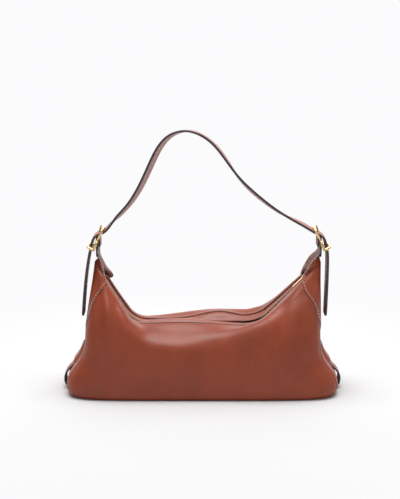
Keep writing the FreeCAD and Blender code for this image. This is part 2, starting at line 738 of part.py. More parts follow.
# ---------------------------------------------------------------- checks and files
doc.recompute()
helpers = {part.Name for frame in fused for part in frame.Shapes}
pieces = [thing for thing in doc.Objects if thing.Name not in helpers and thing.Name != "sizes"]
for thing in doc.Objects:
    if "Invalid" in thing.State or "Error" in thing.State:
        raise RuntimeError(f"{thing.Name} failed to build")
for piece in pieces:
    if piece.Shape.isNull() or not piece.Shape.isValid() or not piece.Shape.Solids:
        raise RuntimeError(f"{piece.Label} is not a sound solid")
for piece in pieces:
    piece.Shape.exportStep(f"parts/{piece.Label}.step")
print(f"{len(pieces)} nodes written")
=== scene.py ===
# %% [markdown]
# # A leather hobo bag
# The bag is a soft box of tanned leather with a dipped, zipped top. Two V-shaped ears wrap
# its ends and carry an arched shoulder strap in pin buckles. Each cell below makes one
# piece or one finish, in the order in which a bag maker would cut, fold and join it. The
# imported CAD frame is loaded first, so every piece lands where the real joints are.

# %% Load the frame
import math
import bpy
import numpy as np
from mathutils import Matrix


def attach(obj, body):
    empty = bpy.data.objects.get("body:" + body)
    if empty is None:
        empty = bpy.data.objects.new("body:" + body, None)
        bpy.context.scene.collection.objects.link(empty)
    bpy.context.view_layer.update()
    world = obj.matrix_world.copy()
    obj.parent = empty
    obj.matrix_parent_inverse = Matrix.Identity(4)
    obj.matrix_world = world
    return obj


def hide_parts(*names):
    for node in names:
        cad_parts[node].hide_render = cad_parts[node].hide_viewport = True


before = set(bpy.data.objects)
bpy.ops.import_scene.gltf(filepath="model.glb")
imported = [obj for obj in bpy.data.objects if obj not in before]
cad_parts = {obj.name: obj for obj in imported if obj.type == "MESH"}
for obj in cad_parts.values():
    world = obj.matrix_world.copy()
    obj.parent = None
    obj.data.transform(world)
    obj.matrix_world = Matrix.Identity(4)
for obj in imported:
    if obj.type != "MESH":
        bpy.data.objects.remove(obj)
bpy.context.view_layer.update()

# %% [markdown]
# ## The body's form
# A bag like this starts as a flat-bottomed box whose shoulders fold over towards the zip.
# It could be sculpted by hand, but a formula is easier to correct: one function gives the
# outer surface from two angles, one round the plan and one up the wall. A superellipse
# gives the boxy shoulder, and a flared foot and a climbing top line are added to it.

# %% Form: the formulas of the body
MM = 0.001
END_HALF, END_FLARE, FLARE_LEVEL, FLARE_FADE = 146.0, 23.0, 12.0, 27.0
LEFT_LEAN, LEAN_FOOT, LEAN_TOP = 16.0, 50.0, 200.0
BODY_DEPTH, ROOF_LEVEL = 124.0, 85.0
CLIMB_CORNER, LEFT_CORNER, CLIMB_BEND = 69.0, 86.0, 16.0
RIGHT_SLOPE, LEFT_SLOPE = math.radians(45.0), math.radians(52.5)
END_ROUND, FOOT_ROUND = 12.0, 8.0
RIGHT_SEAM, LEFT_SEAM = 34.6, 32.2


def smooth(amount):
    """Rises from 0 to 1 with level ends: three a squared less two a cubed."""
    amount = np.clip(amount, 0.0, 1.0)
    return amount * amount * (3.0 - 2.0 * amount)


def bell(distance, width):
    """A soft bump of height 1: e to the minus square of distance over width."""
    return np.exp(-((distance / width) ** 2))


def corner_cut(level, radius):
    """How far a quarter-round lower edge lies inside the full outline at a level."""
    inside = np.clip(radius - np.maximum(level, 0.0), 0.0, radius)
    return radius - np.sqrt(radius ** 2 - inside ** 2)


def end_reach(level):
    """Half width of an end: a straight wall plus a foot that flares out like a bell."""
    above = np.maximum(level - FLARE_LEVEL, 0.0)
    return END_HALF + END_FLARE * bell(above, FLARE_FADE) - corner_cut(level, END_ROUND)


def climb(place):
    """Rise of the top line: level, then an arc, then a slope that is steeper on the left."""
    place = np.asarray(place, float)
    corner = np.where(place >= 0.0, CLIMB_CORNER, LEFT_CORNER)
    slope = np.where(place >= 0.0, RIGHT_SLOPE, LEFT_SLOPE)
    past = np.abs(place) - (corner - CLIMB_BEND)
    radius = CLIMB_BEND / np.tan(slope / 2.0)
    turned = np.clip(past, 0.0, radius * np.sin(slope))
    arc = radius - np.sqrt(radius ** 2 - turned ** 2)
    return np.where(past > turned, (past - CLIMB_BEND) * np.tan(slope), arc)


def polar_radius(angle, power):
    """Radius of a unit superellipse in the direction of an angle."""
    return (np.abs(np.cos(angle)) ** power + np.abs(np.sin(angle)) ** power) ** (-1.0 / power)


def front_swell(x, rise):
    """Lift of the front fold: a sag left of the middle, a swell each side of it."""
    lift = -3.0 * bell(x + 23.0, 30.0) + 12.0 * bell(x - 72.0, 38.0) + 13.0 * bell(x + 102.0, 24.0)
    return lift * bell(rise - 45.0, 14.5)


def rear_swell(x, rise):
    """Lift of the rear fold: one long swell, highest right of the middle."""
    return 8.0 * bell(x - 32.0, 45.0) * bell(rise - 52.0, 18.0)


def plain_body(turn, rise):
    """Outer surface in millimetres. turn goes round the plan from the right end by way of
    the rear; rise goes up from the base, 0, over the shoulder, 45, to the zip, 90."""
    turn, rise = np.broadcast_arrays(np.asarray(turn, float), np.asarray(rise, float))
    around, angle = np.radians(turn), np.radians(rise)
    plan = polar_radius(around, 6.0 - 3.8 * smooth((rise - 20.0) / 30.0))
    section = polar_radius(angle, 4.0)
    middle = ROOF_LEVEL * section * np.sin(angle)
    lift = smooth(rise / 60.0)
    end_level = middle + climb(np.copysign(END_HALF, np.cos(around))) * lift
    across = end_reach(end_level) * plan * np.cos(around)
    depth = BODY_DEPTH / 2.0 * section * np.cos(angle)
    depth = depth - np.minimum(corner_cut(middle, FOOT_ROUND), depth)
    level = middle + climb(across) * lift
    lean = LEFT_LEAN * smooth((level - LEAN_FOOT) / (LEAN_TOP - LEAN_FOOT))
    across = across + np.where(across < 0.0, lean * (across / END_HALF) ** 2, 0.0)
    y = depth * plan * np.sin(around)
    swells = np.where(y < 0.0, front_swell(across, rise), rear_swell(across, rise))
    return np.stack([across, y, level + swells * smooth(np.abs(y) / 18.0)], axis=-1)


def curve_through(places, values, where):
    """A smooth line through a few values: a natural cubic spline, solved as a matrix."""
    x, y = np.asarray(places, float), np.asarray(values, float)
    flat = y.reshape(len(x), -1)
    gap = np.diff(x)
    count = len(x)
    matrix = np.eye(count)
    right = np.zeros_like(flat)
    inner = np.arange(1, count - 1)
    matrix[inner, inner - 1] = gap[:-1]
    matrix[inner, inner] = 2.0 * (gap[:-1] + gap[1:])
    matrix[inner, inner + 1] = gap[1:]
    slope = np.diff(flat, axis=0) / gap[:, None]
    right[1:-1] = 6.0 * np.diff(slope, axis=0)
    bend = np.linalg.solve(matrix, right)
    where = np.asarray(where, float)
    cell = np.clip(np.searchsorted(x, where, side="right") - 1, 0, count - 2)
    a = (where - x[cell])[..., None]
    b = (x[cell + 1] - where)[..., None]
    h = gap[cell][..., None]
    low, high = bend[cell], bend[cell + 1]
    result = (low * b ** 3 + high * a ** 3) / (6.0 * h)
    result += (flat[cell] / h - low * h / 6.0) * b + (flat[cell + 1] / h - high * h / 6.0) * a
    return result.reshape(where.shape + y.shape[1:])


# %% [markdown]
# ## How the leather slouches
# Real leather never keeps the pattern's plain form. The front fold hangs low in its middle
# and rides high to the right, the rear stands taller, and a crease drops from each ear.
# Cloth simulation would find folds of its own choosing, so the known ones are added as
# smooth lifts and dents, each placed by the same two angles as the body.

# %% Form: slouch, dents and creases
def front_edge(x):
    """Lift of the front panel's top edge: it bows up left of the middle."""
    return 3.6 * bell(x + 25.0, 46.0) - 1.4 * bell(x - 55.0, 25.0)


def rear_edge(x):
    """Lift of the rear panel's top edge: a wave that is highest right of the middle."""
    return 8.0 * bell(x - 22.0, 30.0) - 1.5 * bell(x + 50.0, 30.0) + 2.5 * bell(x - 68.0, 15.0)


def rear_rim(x):
    """Lift of the rear fold: it climbs evenly from left to right, then ends before the ear."""
    return 8.5 * smooth((x + 75.0) / 100.0) * (1.0 - smooth((x - 64.0) / 36.0))


def body(turn, rise):
    """The slouched surface: the plain body with low waves in its walls, the lifts of its
    edges and folds, and a ridge with a hollow beside it below each ear."""
    spot = plain_body(turn, rise)
    x = spot[..., 0]
    front = smooth(-spot[..., 1] / 18.0)
    rear = smooth(spot[..., 1] / 18.0)
    rise = np.broadcast_to(np.asarray(rise, float), x.shape)
    away = 1.0 - smooth((np.abs(x) - 88.0) / 22.0)
    wall = smooth((rise - 4.0) / 10.0) * (1.0 - smooth((rise - 44.0) / 20.0)) * away
    waves = 0.7 * np.sin(x / 31.0 + 0.6) * np.sin(rise / 9.0 + 1.0) + 0.4 * np.sin(x / 17.0 - rise / 11.0)
    line = -111.0 - 0.42 * (rise - 40.0)
    crease = 3.2 * bell(x - line + 6.0, 6.5) * bell(rise - 44.0, 15.0)
    crease = crease - 3.4 * bell(x - line - 6.0, 7.5) * bell(rise - 43.0, 14.0)
    soft = 2.0 * bell(x - 113.0, 8.0) * bell(rise - 42.0, 14.0)
    soft = soft - 2.2 * bell(x - 97.0, 10.0) * bell(rise - 42.0, 13.0)
    pinch = smooth((18.0 - x) / 50.0) * smooth((x + 128.0) / 14.0) + 0.6 * smooth((x - 40.0) / 30.0)
    ridge = pinch * (2.6 * bell(rise - 45.0, 6.5) - 1.8 * bell(rise - 59.0, 7.0))
    push = (waves * wall + crease + soft + ridge) * front + waves * wall * rear
    edge = smooth((rise - 57.0) / 15.0)
    sag = -1.6 * bell(x + 23.0, 34.0) * bell(rise - 42.0, 12.0)
    sag = sag + (3.6 * bell(x + 84.0, 16.0) + 5.0 * bell(x - 66.0, 24.0)) * bell(rise - 46.0, 12.0)
    raised = (front_edge(x) - front_swell(x, rise)) * edge + sag
    fold = rear_rim(x) * bell(rise - 60.0, 20.0) * (1.0 - edge) + rear_edge(x) * edge
    lift = raised * front + (fold - rear_swell(x, rise)) * rear
    return spot + np.stack([np.zeros_like(x), np.sign(spot[..., 1]) * push, lift], axis=-1)


def outward(surface, one, two):
    """Unit normal of a surface, from small steps along its two parameters."""
    step = 0.05
    along = surface(one + step, two) - surface(one - step, two)
    across = surface(one, two + step) - surface(one, two - step)
    normal = np.cross(along, across)
    return normal / np.linalg.norm(normal, axis=-1, keepdims=True)


def seam_turn(rise, side):
    """Plan angle from an end's middle to its seams: less above the foot, more at the top."""
    foot = RIGHT_SEAM if side > 0 else LEFT_SEAM
    return foot - 5.0 * smooth((rise - 16.0) / 16.0) + 1.5 * smooth((rise - 45.0) / 12.0)

# %% [markdown]
# ## Sheets, tubes and carried profiles
# Almost every part of a bag is a flat ply cut from a hide, a moulded strap or a bent rod.
# Each kind has one maker: a grid of points becomes a sheet that Solidify gives a wall, and
# a closed profile is carried along a path for straps, wires and stitches.

# %% Makers: meshes from arrays of points


def grid_faces(rows, columns, closed=False):
    """Four-sided faces of a grid: each joins a point to its neighbours in the next row."""
    count = columns if closed else columns - 1
    one = np.arange(rows - 1)[:, None] * columns + np.arange(count)[None, :]
    two = np.arange(rows - 1)[:, None] * columns + (np.arange(count)[None, :] + 1) % columns
    return np.stack([one, two, two + columns, one + columns], axis=-1).reshape(-1, 4)


def piece(name, points, faces, finishes, rides="bag", stands_for=(), paint_faces=None):
    """A mesh in metres from points in millimetres, with its materials and its body."""
    mesh = bpy.data.meshes.new(name)
    mesh.from_pydata((points.reshape(-1, 3) * MM).tolist(), [], [list(face) for face in faces])
    for finish in finishes:
        mesh.materials.append(finish)
    mesh.polygons.foreach_set("use_smooth", np.ones(len(mesh.polygons), dtype=bool))
    if paint_faces is not None:
        mesh.polygons.foreach_set("material_index", np.asarray(paint_faces, dtype=np.int32))
    mesh.update()
    made = bpy.data.objects.new(name, mesh)
    bpy.context.scene.collection.objects.link(made)
    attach(made, rides)
    if stands_for:
        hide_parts(*stands_for)
    print(f"{name}: {len(mesh.polygons)} faces")
    return made


def give_wall(made, wall, offset=-1.0, bevel=0.0):
    """Solidify turns the sheet into a ply; its cut rim takes the edge paint."""
    solid = made.modifiers.new("wall", "SOLIDIFY")
    solid.thickness = wall * MM
    solid.offset = offset
    solid.use_even_offset = True
    solid.material_offset_rim = 1
    if bevel:
        rounded = made.modifiers.new("soft edge", "BEVEL")
        rounded.width = bevel * MM
        rounded.segments = 2
        rounded.limit_method = "ANGLE"
        rounded.angle_limit = math.radians(50.0)
    return made


def sheet_piece(name, points, finishes, wall, offset=-1.0, bevel=0.0, keep=None, paint=None, **where):
    """A ply from a grid of points; keep is a mask that leaves openings in it, and paint
    numbers the finish of each face."""
    rows, columns = points.shape[:2]
    faces = grid_faces(rows, columns)
    if keep is not None:
        faces = faces[keep.reshape(-1)]
    paint = None if paint is None else paint.reshape(-1)
    made = piece(name, points, faces.tolist(), finishes, paint_faces=paint, **where)
    return give_wall(made, wall, offset, bevel)


def path_frames(path):
    """Unit tangents of a path in rows, from central differences."""
    run = np.gradient(path, axis=0)
    return run / np.linalg.norm(run, axis=1, keepdims=True)


def carried(name, path, side, profile, finishes, scale=None, paint=None, **where):
    """A closed profile carried along a path: each point is the path's, plus the profile's
    first number along side, plus its second along tangent cross side."""
    run = path_frames(path)
    side = np.broadcast_to(np.asarray(side, float), path.shape)
    side = side - run * np.sum(side * run, axis=1, keepdims=True)
    side = side / np.linalg.norm(side, axis=1, keepdims=True)
    up = np.cross(run, side)
    scale = np.ones((len(path), 2)) if scale is None else scale
    points = (path[:, None] + side[:, None] * (profile[None, :, :1] * scale[:, None, :1])
              + up[:, None] * (profile[None, :, 1:] * scale[:, None, 1:]))
    rows, columns = points.shape[:2]
    faces = grid_faces(rows, columns, closed=True)[:, ::-1].tolist()
    paints = np.tile(np.zeros(columns, int) if paint is None else paint, rows - 1).tolist()
    faces += [list(range(columns)), list(range((rows - 1) * columns, rows * columns))[::-1]]
    paints += [1 if paint is not None else 0] * 2
    return piece(name, points, faces, finishes, paint_faces=paints, **where)


def circle(radius, count=16):
    """A rod's round cut: cosine and sine of even angles, times the radius."""
    angle = np.arange(count) / count * 2.0 * math.pi
    return np.stack([radius * np.cos(angle), radius * np.sin(angle)], axis=-1)


def strap_profile(width, wall, edge):
    """A flat strap's cut: two level faces joined by half-round painted edges."""
    half, rise = width / 2.0 - edge, wall / 2.0
    turn = np.linspace(-math.pi / 2.0, math.pi / 2.0, 7)
    right = np.stack([half + edge * np.cos(turn), rise * np.sin(turn)], axis=-1)
    level = np.linspace(half, -half, 8)[1:-1]
    top = np.stack([level, np.full(6, rise)], axis=-1)
    left = np.stack([-half - edge * np.cos(turn), -rise * np.sin(turn)], axis=-1)
    low = np.stack([-level, np.full(6, -rise)], axis=-1)
    points = np.concatenate([right, top, left, low])
    paint = np.array([1] * 6 + [0] * 7 + [1] * 6 + [0] * 7)
    return points, paint


def even_steps(path, count):
    """The same path with its points at equal distances."""
    length = np.concatenate([[0.0], np.cumsum(np.linalg.norm(np.diff(path, axis=0), axis=1))])
    where = np.linspace(0.0, length[-1], count)
    return np.stack([np.interp(where, length, path[:, axis]) for axis in range(path.shape[1])], axis=-1)


def length_of(path):
    """The sum of the distances between a path's neighbouring points."""
    return float(np.linalg.norm(np.diff(path, axis=0), axis=1).sum())


def stitches(name, paths, pitch=3.6, long=2.5, thick=0.42, **where):
    """Thread laid along seams: at even steps along each path, given with its unit normals,
    stands one short six-sided stitch that is thin at its ends and fat in its middle."""
    spots, runs, ups = [], [], []
    for path, normals in paths:
        count = max(int(length_of(path) / pitch), 2)
        joined = even_steps(np.concatenate([path, normals], axis=1), count * 2 + 1)[1::2]
        full = even_steps(path, count * 2 + 1)
        run = (full[2::2] - full[:-2:2])
        spots.append(joined[:, :3])
        ups.append(joined[:, 3:])
        runs.append(run / np.linalg.norm(run, axis=1, keepdims=True))
    spot, run, up = np.concatenate(spots), np.concatenate(runs), np.concatenate(ups)
    side = np.cross(up, run)
    side = side / np.linalg.norm(side, axis=1, keepdims=True)
    up = np.cross(run, side)
    along = np.array([-0.5, -0.32, 0.32, 0.5]) * long
    radius = np.array([0.35, 1.0, 1.0, 0.35]) * thick
    sink = np.array([-0.25, 0.1, 0.1, -0.25])
    angle = np.arange(6) / 6.0 * 2.0 * math.pi
    ring = (run[:, None, None] * along[None, :, None, None]
            + side[:, None, None] * (radius[:, None] * np.cos(angle))[None, :, :, None]
            + up[:, None, None] * (radius[:, None] * np.sin(angle) + sink[:, None])[None, :, :, None])
    points = (spot[:, None, None] + ring).reshape(-1, 3)
    one = grid_faces(4, 6, closed=True)
    starts = np.arange(len(spot)) * 24
    sides = (starts[:, None, None] + one[None]).reshape(-1, 4).tolist()
    caps = (starts[:, None] + np.arange(5, -1, -1)[None]).tolist()
    caps += (starts[:, None] + 18 + np.arange(6)[None]).tolist()
    return piece(name, points, sides + caps, [THREAD], **where)


# %% [markdown]
# ## Leather, edge paint, thread, cloth and gold-toned metal
# Vegetable-tanned cowhide shows a fine pebble of pores, a slow drift of colour and a satin
# sheen that is tighter where hands rub it. Voronoi cells give the pores, two noises give
# the drift, and both feed a small bump. The cut edges are painted dark and burnished, so
# they get a smooth, glossier finish; on the ears that edge is grey, a painted highlight.
# A lighter copy of the hide on the facings and keepers is painted top light, and the
# black band along the front edge is partly a painted shadow. The fittings are brass with
# a warm gold plating.

# %% Finishes: the procedural materials


def finish_base(name, color, rough, **numbers):
    """A material with plain numbers on its shader, and the object's own coordinates."""
    made = bpy.data.materials.new(name)
    made.use_nodes = True
    made.diffuse_color = (*color, 1.0)
    shader = made.node_tree.nodes["Principled BSDF"]
    for key, value in {"Base Color": (*color, 1.0), "Roughness": rough, **numbers}.items():
        shader.inputs[key].default_value = value
    place = made.node_tree.nodes.new("ShaderNodeTexCoord").outputs["Object"]
    return made, made.node_tree, shader, place


def node(tree, kind, **values):
    """A shader node, its values put on the inputs of their names or else on its settings."""
    made = tree.nodes.new(kind)
    for key, value in values.items():
        if key in made.inputs:
            made.inputs[key].default_value = value
        else:
            setattr(made, key, value)
    return made


def link(tree, *pairs):
    """Joins each pair's output to its input."""
    for source, target in pairs:
        tree.links.new(source, target)


def ramp(tree, source, stops):
    """A colour ramp on a value, from a few (place, colour) stops."""
    made = tree.nodes.new("ShaderNodeValToRGB")
    link(tree, (source, made.inputs["Fac"]))
    for index, (place, color) in enumerate(stops):
        stop = made.color_ramp.elements[index] if index < 2 else made.color_ramp.elements.new(place)
        stop.position = place
        stop.color = (*color, 1.0)
    return made.outputs["Color"]


def shade(color, amount):
    """The colour times an amount, each channel at most 1."""
    return tuple(min(1.0, channel * amount) for channel in color)


def leather(name, color, rough=0.46, grain=1.0):
    """Tanned hide: pores from Voronoi cells, drift of tone from two noises, satin gloss."""
    made, tree, shader, place = finish_base(name, color, rough, **{
        "Specular IOR Level": 0.42, "Coat Weight": 0.10, "Coat Roughness": 0.34})
    pores = node(tree, "ShaderNodeTexVoronoi", Scale=780.0, feature="SMOOTH_F1")
    fine = node(tree, "ShaderNodeTexNoise", Scale=1500.0, Detail=3.0)
    drift = node(tree, "ShaderNodeTexNoise", Scale=19.0, Detail=4.0, Roughness=0.55)
    cloud = node(tree, "ShaderNodeTexNoise", Scale=95.0, Detail=3.0)
    link(tree, *((place, texture.inputs["Vector"]) for texture in (pores, fine, drift, cloud)))
    tone = ramp(tree, drift.outputs["Fac"], [(0.30, shade(color, 0.84)), (0.72, shade(color, 1.13))])
    small = ramp(tree, cloud.outputs["Fac"], [(0.35, (0.90, 0.90, 0.90)), (0.70, (1.0, 1.0, 1.0))])
    mixed = node(tree, "ShaderNodeMix", data_type="RGBA", blend_type="MULTIPLY", Factor=1.0)
    link(tree, (tone, mixed.inputs[6]), (small, mixed.inputs[7]),
         (mixed.outputs[2], shader.inputs["Base Color"]))
    gloss = node(tree, "ShaderNodeMapRange", **{"To Min": rough - 0.07, "To Max": rough + 0.10})
    first = node(tree, "ShaderNodeBump", Strength=0.22 * grain, Distance=0.0004)
    second = node(tree, "ShaderNodeBump", Strength=0.12 * grain, Distance=0.0003)
    link(tree, (cloud.outputs["Fac"], gloss.inputs["Value"]),
         (gloss.outputs["Result"], shader.inputs["Roughness"]),
         (pores.outputs["Distance"], first.inputs["Height"]), (fine.outputs["Fac"], second.inputs["Height"]),
         (first.outputs["Normal"], second.inputs["Normal"]),
         (second.outputs["Normal"], shader.inputs["Normal"]))
    return made


def painted(name, color, rough, pale_past=None, coat=0.5):
    """Edge paint: thin coats over a cut edge, nearly smooth with faint brush waves. Past a
    distance from the middle, in metres, the edge turns pale."""
    made, tree, shader, place = finish_base(name, color, rough, **{
        "Coat Weight": coat, "Coat Roughness": 0.2, "Specular IOR Level": 0.2 + 0.6 * coat})
    waves = node(tree, "ShaderNodeTexNoise", Scale=420.0, Detail=2.0)
    link(tree, (place, waves.inputs["Vector"]))
    tone = ramp(tree, waves.outputs["Fac"], [(0.3, shade(color, 0.8)), (0.75, shade(color, 1.4))])
    if pale_past:
        apart = tree.nodes.new("ShaderNodeSeparateXYZ")
        far = node(tree, "ShaderNodeMath", operation="ABSOLUTE")
        fade = node(tree, "ShaderNodeMapRange", **{"From Min": pale_past, "From Max": pale_past + 0.012})
        mixed = node(tree, "ShaderNodeMix", data_type="RGBA")
        mixed.inputs[7].default_value = (0.62, 0.46, 0.27, 1.0)
        link(tree, (place, apart.inputs[0]), (apart.outputs["X"], far.inputs[0]),
             (far.outputs["Value"], fade.inputs["Value"]), (fade.outputs["Result"], mixed.inputs["Factor"]),
             (tone, mixed.inputs[6]))
        tone = mixed.outputs[2]
    bump = node(tree, "ShaderNodeBump", Strength=0.15, Distance=0.0003)
    link(tree, (tone, shader.inputs["Base Color"]), (waves.outputs["Fac"], bump.inputs["Height"]),
         (bump.outputs["Normal"], shader.inputs["Normal"]))
    return made


def metal(name, color, rough):
    """Plated brass: a warm mirror with fine polishing marks in its gloss."""
    made, tree, shader, place = finish_base(name, color, rough, Metallic=1.0)
    marks = node(tree, "ShaderNodeTexNoise", Scale=600.0, Detail=4.0)
    gloss = node(tree, "ShaderNodeMapRange", **{"To Min": rough * 0.7, "To Max": rough * 1.5})
    tone = ramp(tree, marks.outputs["Fac"], [(0.3, shade(color, 0.92)), (0.7, shade(color, 1.06))])
    link(tree, (place, marks.inputs["Vector"]), (marks.outputs["Fac"], gloss.inputs["Value"]),
         (gloss.outputs["Result"], shader.inputs["Roughness"]), (tone, shader.inputs["Base Color"]))
    return made


def cloth(name, color, threads=900.0):
    """Woven tape or lining: two crossed waves of thread, with painted shade between the threads."""
    made, tree, shader, place = finish_base(name, color, 0.85)
    heights = []
    for direction in ("X", "Y"):
        wave = node(tree, "ShaderNodeTexWave", Scale=threads / 2.0, Distortion=0.4, bands_direction=direction)
        link(tree, (place, wave.inputs["Vector"]))
        heights.append(wave.outputs["Fac"])
    both = node(tree, "ShaderNodeMath", operation="MAXIMUM")
    # The low parts of the weave are darker: painted shade between the threads.
    tone = ramp(tree, both.outputs["Value"], [(0.2, shade(color, 0.6)), (0.9, shade(color, 1.15))])
    bump = node(tree, "ShaderNodeBump", Strength=0.4, Distance=0.0003)
    link(tree, (heights[0], both.inputs[0]), (heights[1], both.inputs[1]), (tone, shader.inputs["Base Color"]),
         (both.outputs["Value"], bump.inputs["Height"]), (bump.outputs["Normal"], shader.inputs["Normal"]))
    return made


HIDE = leather("hide", (0.285, 0.044, 0.012))
# A lighter, pinker copy of the hide for the facings and keepers: painted top light.
HIDE_PAINTED_TOP_LIGHT = leather("hide with painted top light", (0.33, 0.085, 0.048), 0.42)
FLESH = leather("flesh side", (0.46, 0.25, 0.21), 0.66, 1.6)
EDGE = painted("edge paint", (0.030, 0.022, 0.022), 0.32)
# Near-black for the front panel's top edge: edge paint, and a painted shadow of the gap under that edge.
DULL_PAINT_AND_GAP_SHADOW = painted("dull edge paint and painted gap shadow", (0.008, 0.006, 0.006), 0.70, coat=0.0)
# Grey for the ears' cut edges: dark edge paint with a painted highlight.
EDGE_PAINT_WITH_HIGHLIGHT = painted("edge paint with painted highlight", (0.25, 0.23, 0.235), 0.25)
PIPING = painted("slot edge", (0.16, 0.045, 0.030), 0.40, pale_past=0.070)
THREAD = cloth("thread", (0.62, 0.50, 0.38), 2600.0)
TAPE = cloth("zip tape", (0.045, 0.026, 0.022))
LINING = cloth("lining", (0.13, 0.075, 0.055))
GOLD = metal("gold plate", (0.86, 0.62, 0.30), 0.20)
BOARD = cloth("base board", (0.03, 0.027, 0.025), 300.0)

# %% [markdown]
# ## Front, rear and end panels
# Four panels make the wall. On the real bag they are sewn face to face and turned, so each
# meeting line is a narrow groove with two rolled edges. The same surface function gives
# all four, which keeps their edges together, and the roll is a dip towards each seam.

# %% Panels: front, rear and the two ends
WALL, GAP = 1.8, 0.3
SEAM_GAP, SEAM_DIP = 0.15, 1.3
CROWDING = 0.6


def rolled(turn, rise, seams):
    """The body drawn in near its seams: a dip of 1.3 mm that dies away in 3 mm. The ply
    grows outwards from here, so the foot is kept one ply above the ground."""
    spot, way = body(turn, rise), outward(body, turn, rise)
    dip = sum(SEAM_DIP * bell((turn - seam) * 2.2, 2.4) for seam in seams)
    spot = spot - way * dip[..., None]
    spot[..., 2] = np.maximum(spot[..., 2], WALL + 0.05)
    return spot


def dense_share(count):
    """A column of shares from 0 to 1 that crowd a little towards both ends."""
    even = np.linspace(0.0, 1.0, count)[:, None]
    return smooth(even) * CROWDING + even * (1.0 - CROWDING)


LOW_RISES = np.linspace(0.45, 9.0, 22)
RISES = np.concatenate([LOW_RISES, np.linspace(10.0, 70.1, 69), [71.0, 72.0]])[None]
RIGHT_TURN, LEFT_TURN = seam_turn(RISES, 1.0), seam_turn(RISES, -1.0)
for name, first, last, rim in (("rear_leather", RIGHT_TURN, 180.0 - LEFT_TURN, FLESH),
                               ("front_leather", 180.0 + LEFT_TURN, 360.0 - RIGHT_TURN, DULL_PAINT_AND_GAP_SHADOW)):
    turns = first + SEAM_GAP + (last - first - 2.0 * SEAM_GAP) * dense_share(230)
    points = rolled(turns, np.broadcast_to(RISES, turns.shape), (first, last))
    # On the front panel the last two rows from -81 to 53 mm take the near-black: edge paint lapped onto the
    # face, and a painted shadow of the gap under the edge.
    paint = np.zeros((229, RISES.size - 1), int)
    middle = points[:-1, -1, 0]
    paint[:, -2:] = ((middle > -81.0) & (middle < 53.0) & (name == "front_leather"))[:, None]
    sheet_piece(name, points, [HIDE, rim, rim], WALL, paint=paint,
                stands_for=(name.split("_")[0] + "_panel",))

END_RISES = np.concatenate([LOW_RISES, np.linspace(10.0, 60.0, 56)])[None]
for name, middle, side in (("right_end", 0.0, 1.0), ("left_end", 180.0, -1.0)):
    reach = seam_turn(END_RISES, side)
    turns = middle + (reach - SEAM_GAP) * (2.0 * dense_share(90) - 1.0)
    points = rolled(turns, np.broadcast_to(END_RISES, turns.shape), (middle - reach, middle + reach))
    sheet_piece(name, points, [HIDE, EDGE], WALL, stands_for=(name.split("_")[0] + "_gusset",))

around = np.linspace(0.0, 360.0, 181)[:-1][:, None]
ring = plain_body(around, 0.3) * np.array([1.0, 1.0, 0.0])
base = np.stack([np.stack([ring[:, 0, 0] * (1.0 - step), ring[:, 0, 1] * (1.0 - step * 1.2),
                           np.full(180, level)], axis=-1)
                 for step, level in ((0.0, 0.5), (0.006, 0.1), (0.02, 0.0), (0.5, 0.0))])
faces = grid_faces(4, 180, closed=True)[:, ::-1].tolist() + [list(range(540, 720))[::-1]]
give_wall(piece("base_leather", base, faces, [HIDE, EDGE], stands_for=("base_panel",)), WALL)

# %% [markdown]
# ## The zipped top
# Two leather facings run from the panels' edges to the zip and leave a narrow slot. Under
# them lie the woven tapes with their rows of metal teeth. The facings and tapes are bands
# that follow the dipped line; the teeth are one small block repeated at even steps.

# %% Top: facings, tapes and teeth
ZIP_END, SLOT_HALF, PLACKET_WALL = 132.0, 4.7, 1.5
TAPE_INNER, TAPE_OUTER, TAPE_WALL = 2.65, 11.0, 0.6
TOOTH_PITCH = 2.3


def zip_line(place, depth):
    """A point under the zip's line, moved square to it by a depth, leaned like the body."""
    place = np.asarray(place, float)
    step = 0.05

    def lean(x):
        """The roof line at x, moved inwards on the left by the body's lean."""
        level = ROOF_LEVEL + climb(x)
        amount = LEFT_LEAN * smooth((level - LEAN_FOOT) / (LEAN_TOP - LEAN_FOOT))
        moved = x + np.where(x < 0.0, amount * (x / END_HALF) ** 2, 0.0)
        return np.stack([moved, np.zeros_like(x), level], axis=-1)

    here, ahead = lean(place), lean(place + step)
    run = (ahead - here) / np.linalg.norm(ahead - here, axis=-1, keepdims=True)
    square = np.stack([run[..., 2], np.zeros_like(place), -run[..., 0]], axis=-1)
    return here + square * np.asarray(depth, float)[..., None]


FACING_TOP = WALL + GAP + 0.5
places = np.linspace(-ZIP_END, ZIP_END, 220)[:, None]


def facing(side):
    """From the zip's slot to under the panel's edge, lifted with that edge; the front one
    crowns up past it in the middle and hides the slot there."""
    share = np.linspace(0.0, 1.0, 18)[None]
    line = zip_line(places, np.full(places.shape, FACING_TOP))
    x = line[..., :1]
    half = np.interp(places[:, 0], [-132, -118, 0, 118, 132], [11.0, 15.0, 21.5, 15.0, 11.0])[:, None]
    y = SLOT_HALF + (half - SLOT_HALF) * share
    flat = 1.0 - smooth((np.abs(places) - 60.0) / 18.0)
    free = 1.0 - smooth((share - 0.45) / 0.45)
    if side < 0:
        over = smooth((x + 84.0) / 16.0) * (1.0 - smooth((x + 4.0) / 18.0))
        lift = front_edge(x[..., 0]) + 0.8 * np.sin(share * math.pi)
        lift = (lift + (2.0 * flat + 1.6 * over[..., 0]) * free) * smooth((share + 0.06) / 0.26)
    else:
        lift = rear_edge(x[..., 0]) * smooth(share / 0.9) + 1.2 * flat * free
    lift = lift + 0.7 * smooth((share - 0.3) / 0.5)
    return line + np.stack([0.0 * y, side * y, lift], axis=-1)


# The facings take the lighter hide, which is painted top light.
for name, side, rim in (("front_facing", -1.0, EDGE), ("rear_facing", 1.0, PIPING)):
    sheet_piece(name, facing(side)[::int(side)], [HIDE_PAINTED_TOP_LIGHT, rim], PLACKET_WALL,
                stands_for=(name.replace("facing", "placket"),))

